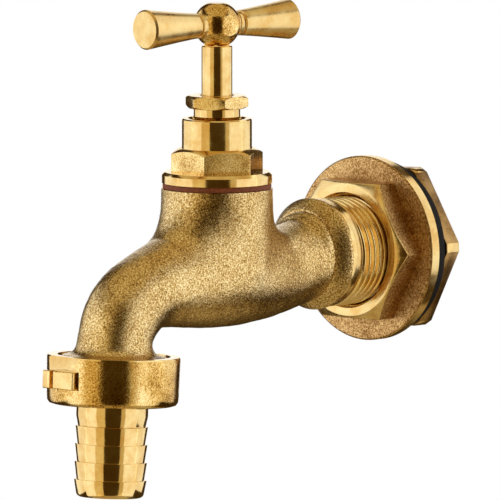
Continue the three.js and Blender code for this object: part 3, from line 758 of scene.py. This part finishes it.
def make_gland_nut():
    """Small hexagon on a turned shank with a bead at the bonnet's mouth."""
    start, top, mouth = low("gland_nut"), high("gland_nut"), high("bonnet")
    hex_low = top - 3.9
    head = chamfered_hexagon(GLAND_HEX, hex_low, top, GLAND_HEX_TURN, 8.5, ["low", "high"])
    hole = turned([
        [0, hex_low - 1], [5, hex_low - 1], [5, top - 0.3], [5.5, top + 0.1], [0, top + 0.1],
    ], 64)
    head = combined(soften(head, 0.15, 24, 2), hole, "DIFFERENCE")
    shank = turned([
        [5, start], [7.0, start], [7.0, mouth - 0.4], [7.45, mouth - 0.1], [7.55, mouth + 0.45],
        [7.2, mouth + 0.7], [7.1, mouth + 1.0], [7.1, hex_low + 0.5], [5, hex_low + 0.5],
    ], 96)
    nut = placed(merged(head, shank), HEADWORK)
    piece = finish_piece(
        "gland_nut_turned", nut, "gland_nut", [UPRIGHT, FORGED], ["gland_nut"],
    )
    wrench_flats(piece, hex_low, top, 7.8)


def make_spindle():
    """Turned rod with its working thread, the socket for the valve plate and the square tenon."""
    start, top = low("spindle"), low("handle_hub") - FACE_GAP
    side, crest, half_tenon = SPINDLE_RADIUS, 6.0, 2.8
    outline = [[0, start + 7], [2.6, start + 7], [2.6, start], [side, start], [side, start + 3.2]]
    outline += [[crest, height] for height in heights(start + 4, start + 13.6, 0.25)]
    outline += [[side, start + 14.4], [side, top - 0.3], [side - 0.3, top], [0, top]]
    rod = cut_thread(turned(outline, 96), start + 3.6, start + 14, crest, depth=0.9, pitch=2.5)
    tenon = block([-half_tenon, -half_tenon, top - 1], [half_tenon, half_tenon, high("spindle")])
    tenon = placed(tenon, Matrix.Rotation(HANDLE_YAW, 4, "Z"))
    spindle = placed(merged(rod, soften(tenon, 0.15)), HEADWORK)
    finish_piece("spindle_rod", spindle, "handle", [UPRIGHT], ["spindle"])


# ---------------------------------------------------------------- handle
def make_hub():
    """Ball with six flats of different depths."""
    ball = bmesh.new()
    bmesh.ops.create_uvsphere(ball, u_segments=96, v_segments=48, radius=HUB_RADIUS * MM)
    flats = [
        ((0, 1, 0), 0.75), ((0, -1, 0), 0.75), ((1, 0, 0), 0.7), ((-1, 0, 0), 0.7),
        ((0, 0, 1), 0.55), ((0, 0, -1), HUB_UNDER_CUT),
    ]
    for normal, cut in flats:
        normal = Vector(normal)
        bmesh.ops.bisect_plane(
            ball, geom=ball.verts[:] + ball.edges[:] + ball.faces[:],
            plane_co=normal * (HUB_RADIUS - cut) * MM, plane_no=normal, clear_outer=True,
        )
        bmesh.ops.holes_fill(ball, edges=ball.edges)
    hub = placed(soften(ball, 0.12, 15), HANDLE)
    finish_piece("hub_ball", hub, "handle", [TUMBLED], ["handle_hub"])


def make_arm(name, turn):
    """T-bar arm about +Z: bead and groove at its root, then a taper that flares to the tip."""
    root = HUB_RADIUS - 0.75
    taper_start, taper_end, steps = root + 2.7, ARM_TIP - 0.6, 10
    profile = [
        [0, root - 1], [3.6, root - 1], [3.6, root + 0.25], [3.85, root + 0.45], [3.9, root + 1.3],
        [3.75, root + 1.6], [3.3, root + 1.75], [3.25, root + 2.1], [3.4, root + 2.35],
        [3.9, root + 2.6],
    ]
    for i in range(steps + 1):
        share = i / steps
        profile.append([3.92 + 2.18 * share ** 1.12, taper_start + (taper_end - taper_start) * share])
    profile += [[5.55, ARM_TIP], [0, ARM_TIP]]
    arm = placed(turned(profile, 96), HANDLE @ Matrix.Rotation(turn, 4, "X"))
    finish_piece(name + "_turned", arm, "handle", [BAR], [name])


# ---------------------------------------------------------------- hose union
def make_union_nut():
    """Tumbled round nut with two lugs: flats milled above them, and a saw cut round each lug."""
    bottom, edge, flat_out, lug_out, lug_top = UNION_BOTTOM, 20.3, 19, 21.6, -4.3
    wall = turned([
        [0, bottom], [edge - 2.0, bottom], [edge - 1.0, bottom + 0.3], [edge - 0.45, bottom + 1.1],
        [edge - 0.25, bottom + 3], [edge, -0.5], [edge - 0.25, 0], [0, 0],
    ], 160)
    slant = Matrix.Rotation(radians(8), 4, "Z")
    lug = soften(block([-9.0, -lug_out, -9.8], [3.8, lug_out, lug_top]), 0.4, 30, 3)
    wall = combined(wall, placed(lug, slant), "UNION")
    slots = [
        ([-5.9, -24, -10], [-4.4, -20.2, -4.2]), ([3.8, -24, -9.9], [4.6, -19.0, -4.2]),
        ([-4.4, -24, -10.4], [4.6, -19.4, -9.8]),
    ]
    for turn, flat_start, flat_end in ((0, -30, -flat_out), (pi, flat_out, 30)):
        flat = block([-20, flat_start, lug_top], [20, flat_end, 1])
        wall = combined(wall, flat, "DIFFERENCE")
        for low_corner, high_corner in slots:
            slot = placed(block(low_corner, high_corner), slant @ Matrix.Rotation(turn, 4, "Z"))
            wall = combined(wall, slot, "DIFFERENCE")
    inside = turned([
        [0, -20], [11.3, -20], [11.3, -12], [16.95, -12], [16.95, -0.5], [17.3, 0.1], [0, 0.1],
    ], 128)
    nut_frame = OUTLET @ Matrix.Rotation(radians(LUG_TURN), 4, "Z")
    nut = placed(combined(wall, inside, "DIFFERENCE"), nut_frame)
    piece = finish_piece(
        "union_nut_casting", nut, "union_nut", [TUMBLED, SPOUT], ["union_nut"],
    )
    back = nut_frame.inverted()

    def machined(face):
        centre = back @ face.center / MM
        normal = back.to_3x3() @ face.normal
        top_ring = centre.z > -0.6
        above_lug = centre.z > -4.4 and abs(normal.y) > 0.99 and abs(abs(centre.y) - flat_out) < 0.1
        lug_face = -9.5 < centre.z < -4.6 and abs(normal.y) > 0.97 and abs(centre.y) > 20
        return top_ring or above_lug or lug_face

    by_place(piece, machined)


def make_hose_tail():
    """Turned tail: flange inside the nut, a plain stretch, then the barbs."""
    end, bore, full, cut, barbs = -43.0, 8.0, 11.0, 10.25, 4
    flange_radius, flange_top, flange_low = 16, -9.7, -11.7
    barb_top = UNION_BOTTOM - 6.4
    pitch = (barb_top - end) / barbs
    profile = [
        [bore, end + 0.5], [bore, flange_top], [flange_radius, flange_top],
        [flange_radius, flange_low], [full - 0.1, flange_low], [full - 0.1, barb_top + 3],
    ]
    for i in range(barbs):
        top = barb_top - i * pitch
        profile += [
            [cut + 0.05, top + 0.08], [cut + 0.1, top - 0.05], [full - 0.05, top - 0.15],
            [full, top - 0.3],
        ]
    profile += [[cut, end + 0.9], [cut - 0.3, end + 0.35], [cut - 0.9, end], [bore + 0.5, end]]
    tail = placed(turned(profile, 144), OUTLET)
    finish_piece("hose_tail_turned", tail, "hose_tail", [SPOUT], ["hose_tail"])


make_body()
make_collar()
make_inlet_thread()
make_fitting()
make_back_nut()
make_wall_gasket()
make_bonnet_gasket()
make_bonnet()
make_gland_nut()
make_spindle()
make_hub()
make_arm("handle_arm_front", pi / 2)
make_arm("handle_arm_back", -pi / 2)
make_union_nut()
make_hose_tail()

# Pieces inside the tap keep their CAD shape.
KEPT = {
    "gland_ring": UPRIGHT, "valve_plate": UPRIGHT, "washer_nut": UPRIGHT, "valve_washer": RUBBER,
    "hose_washer": RUBBER, "lower_packing_ring": PACKING, "upper_packing_ring": PACKING,
}
for node, material in KEPT.items():
    for material_slot in frame["nodes"][node].material_slots:
        material_slot.material = material

# ---------------------------------------------------------------- camera
scene = bpy.context.scene
VIEW_AZIMUTH, VIEW_ELEVATION = radians(43), radians(6)
LENS, SENSOR = 1500, 36  # so long that the view is all but parallel
VIEW_WIDTH = 500 / 3.28  # millimetres that the camera sees from side to side
distance = LENS / SENSOR * VIEW_WIDTH * MM
towards = Vector((
    sin(VIEW_AZIMUTH) * cos(VIEW_ELEVATION), -cos(VIEW_AZIMUTH) * cos(VIEW_ELEVATION), sin(VIEW_ELEVATION),
))
aim = Vector((0, -54.86, 3.3)) * MM
camera_data = bpy.data.cameras.new("camera")
camera_data.lens = LENS
camera_data.sensor_width = SENSOR
camera_data.clip_end = 50  # metres, well behind the object
camera = bpy.data.objects.new("camera", camera_data)
camera.location = aim + towards * distance
camera.rotation_euler = (-towards).to_track_quat("-Z", "Y").to_euler()
scene.collection.objects.link(camera)
scene.camera = camera
scene.view_settings.view_transform = "Standard"

# ---------------------------------------------------------------- floor and light
FLOOR_HEIGHT = -160 * MM  # well below the tap, which hangs on a wall
FLOOR_SIZE = 25  # metres, so that it fills the view
floor_bm = bmesh.new()
bmesh.ops.create_grid(floor_bm, x_segments=1, y_segments=1, size=FLOOR_SIZE)
bmesh.ops.translate(floor_bm, vec=(0, 0, FLOOR_HEIGHT), verts=floor_bm.verts)
floor = link_mesh("floor", floor_bm)
floor_material, floor_tree, floor_shader = new_material("white_floor")
floor_shader.inputs["Base Color"].default_value = linear("000000")
floor_shader.inputs["Specular IOR Level"].default_value = 0
floor_shader.inputs["Emission Color"].default_value = linear("FFFFFF")
floor_shader.inputs["Emission Strength"].default_value = 1.0
floor.data.materials.append(floor_material)
# The floor is only a white ground to look at: light passes it, so the panels reach below it.
for part in ("diffuse", "glossy", "transmission", "shadow"):
    setattr(floor, "visible_" + part, False)

world = bpy.data.worlds.new("studio")
scene.world = world
world.use_nodes = True
sky = world.node_tree
sky.nodes.clear()
# The camera sees a white ground, while the brass mirrors a dim brown room.
path = add(sky, "ShaderNodeLightPath")
seen = add(sky, "ShaderNodeBackground", {"Color": (1, 1, 1, 1), "Strength": 1.0})
felt = add(sky, "ShaderNodeBackground", {"Color": (0.062, 0.036, 0.008, 1), "Strength": 1.0})
both = add(sky, "ShaderNodeMixShader", None, Fac=path.outputs["Is Camera Ray"])
sky.links.new(felt.outputs[0], both.inputs[1])
sky.links.new(seen.outputs[0], both.inputs[2])
add(sky, "ShaderNodeOutputWorld", None, Surface=both.outputs[0])

right = Vector((cos(VIEW_AZIMUTH), sin(VIEW_AZIMUTH), 0))
front = Vector((sin(VIEW_AZIMUTH), -cos(VIEW_AZIMUTH), 0))
WARM = (1.0, 0.82, 0.46)  # light off a brass-coloured card


def softbox(name, bearing, rise, wide, tall, radiance, tint=(1, 1, 1), reach=1.2):
    """Rectangular light that faces the object: its bearing to the right of the camera, its rise and
    its spans in degrees, how bright it looks, its colour, and its distance in metres."""
    light = bpy.data.lights.new(name, "AREA")
    light.shape = "RECTANGLE"
    light.size = 2 * reach * tan(radians(wide / 2))
    light.size_y = 2 * reach * tan(radians(tall / 2))
    light.color = tint
    light.energy = radiance * pi * light.size * light.size_y
    obj = bpy.data.objects.new(name, light)
    angle, lift = radians(bearing), radians(rise)
    direction = (front * cos(angle) + right * sin(angle)) * cos(lift) + Vector((0, 0, sin(lift)))
    obj.location = aim + direction * reach
    obj.rotation_euler = (-direction).to_track_quat("-Z", "Y").to_euler()
    obj.visible_camera = False
    scene.collection.objects.link(obj)


softbox("left_front_panel", -71, 0, 38, 80, 1.2)
softbox("left_warm_card", -38, 0, 28, 80, 0.8, WARM)
softbox("left_side_panel", -114, 5, 50, 60, 1.1)
softbox("right_front_panel", 66, 0, 50, 80, 1.15)
softbox("right_warm_card", 34, 0, 14, 80, 0.6, WARM)
softbox("right_side_panel", 114, 14, 50, 72, 1.05)
softbox("back_panel", 180, 14, 28, 46, 1.1)
softbox("top_panel", 0, 86, 80, 80, 0.6, WARM)
softbox("under_panel", 0, -86, 90, 90, 0.4, WARM)
